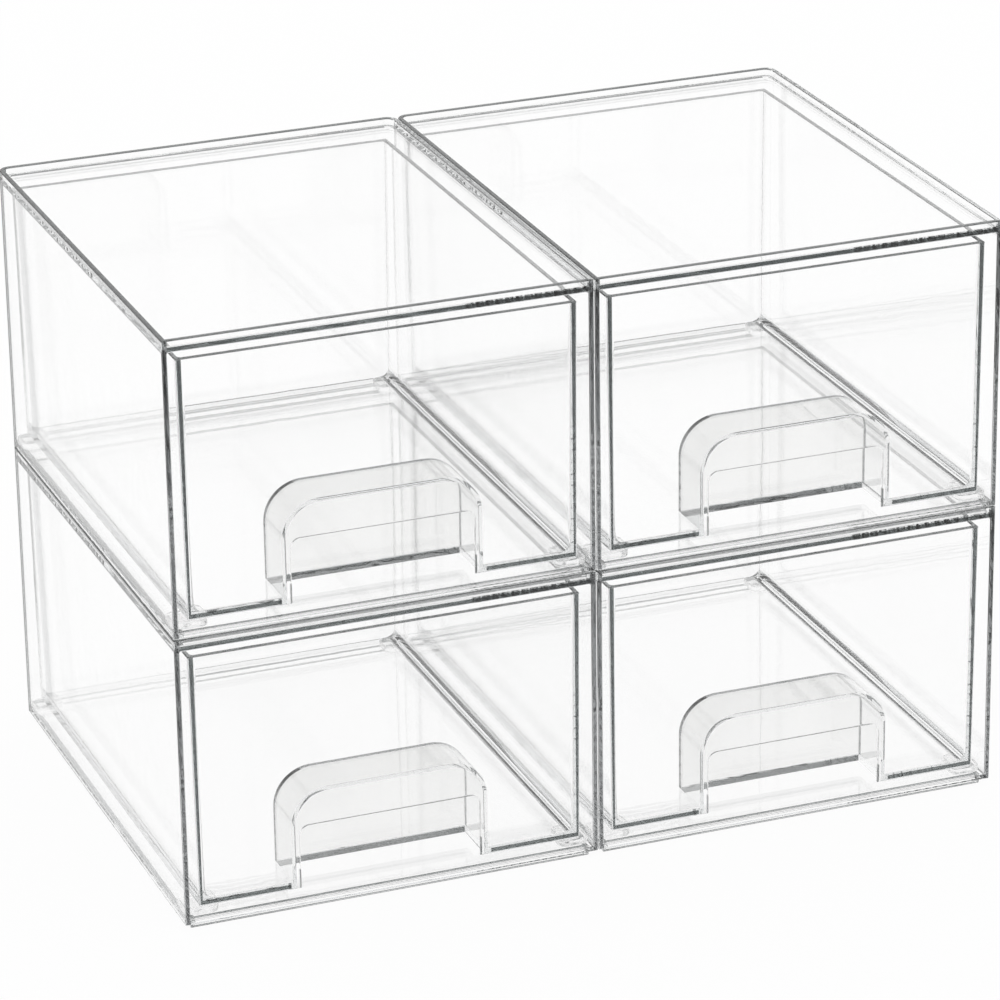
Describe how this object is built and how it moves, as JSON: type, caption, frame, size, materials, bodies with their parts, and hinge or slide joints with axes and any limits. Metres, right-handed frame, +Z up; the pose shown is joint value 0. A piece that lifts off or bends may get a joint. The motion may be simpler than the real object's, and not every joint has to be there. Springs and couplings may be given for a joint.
{
  "type": "stackable drawer boxes",
  "caption": "Clear stackable casings, open in front, each with a sliding drawer that opens by a finger pocket in its front.",
  "frame": {"origin": "middle of the stack's footprint, at the level that the lower foot rings stand on", "axes": "+Z up, drawers open towards -Y, +X to the right for someone facing the drawers"},
  "size_m": [0.3402, 0.2194, 0.2406],
  "materials": {
    "clear_acrylic": "polished, clear",
    "clear_silicone": "satin, clear"
  },
  "bodies": {
    "box_lower_left": {"casing_lower_left": "clear_acrylic", "pad_lower_left_front_left": "clear_silicone", "pad_lower_left_front_right": "clear_silicone", "pad_lower_left_back_left": "clear_silicone", "pad_lower_left_back_right": "clear_silicone"},
    "drawer_lower_left": {"drawer_lower_left": "clear_acrylic"},
    "box_lower_right": {"casing_lower_right": "clear_acrylic", "pad_lower_right_front_left": "clear_silicone", "pad_lower_right_front_right": "clear_silicone", "pad_lower_right_back_left": "clear_silicone", "pad_lower_right_back_right": "clear_silicone"},
    "drawer_lower_right": {"drawer_lower_right": "clear_acrylic"},
    "box_upper_left": {"casing_upper_left": "clear_acrylic", "pad_upper_left_front_left": "clear_silicone", "pad_upper_left_front_right": "clear_silicone", "pad_upper_left_back_left": "clear_silicone", "pad_upper_left_back_right": "clear_silicone"},
    "drawer_upper_left": {"drawer_upper_left": "clear_acrylic"},
    "box_upper_right": {"casing_upper_right": "clear_acrylic", "pad_upper_right_front_left": "clear_silicone", "pad_upper_right_front_right": "clear_silicone", "pad_upper_right_back_left": "clear_silicone", "pad_upper_right_back_right": "clear_silicone"},
    "drawer_upper_right": {"drawer_upper_right": "clear_acrylic"}
  },
  "joints": [
    {"name": "drawer_lower_left_slide", "type": "slide", "parent": "box_lower_left", "child": "drawer_lower_left", "axis": [0, -1, 0], "range_m": [0, 0.18]},
    {"name": "drawer_lower_right_slide", "type": "slide", "parent": "box_lower_right", "child": "drawer_lower_right", "axis": [0, -1, 0], "range_m": [0, 0.18]},
    {"name": "drawer_upper_left_slide", "type": "slide", "parent": "box_upper_left", "child": "drawer_upper_left", "axis": [0, -1, 0], "range_m": [0, 0.18]},
    {"name": "drawer_upper_right_slide", "type": "slide", "parent": "box_upper_right", "child": "drawer_upper_right", "axis": [0, -1, 0], "range_m": [0, 0.18]},
    {"name": "right_column_apart", "type": "slide", "parent": "box_lower_left", "child": "box_lower_right", "axis": [1, 0, 0], "range_m": [0, 0.06]},
    {"name": "box_upper_left_lift", "type": "slide", "parent": "box_lower_left", "child": "box_upper_left", "axis": [0, 0, 1], "range_m": [0, 0.06]},
    {"name": "box_upper_right_lift", "type": "slide", "parent": "box_lower_right", "child": "box_upper_right", "axis": [0, 0, 1], "range_m": [0, 0.06]}
  ]
}
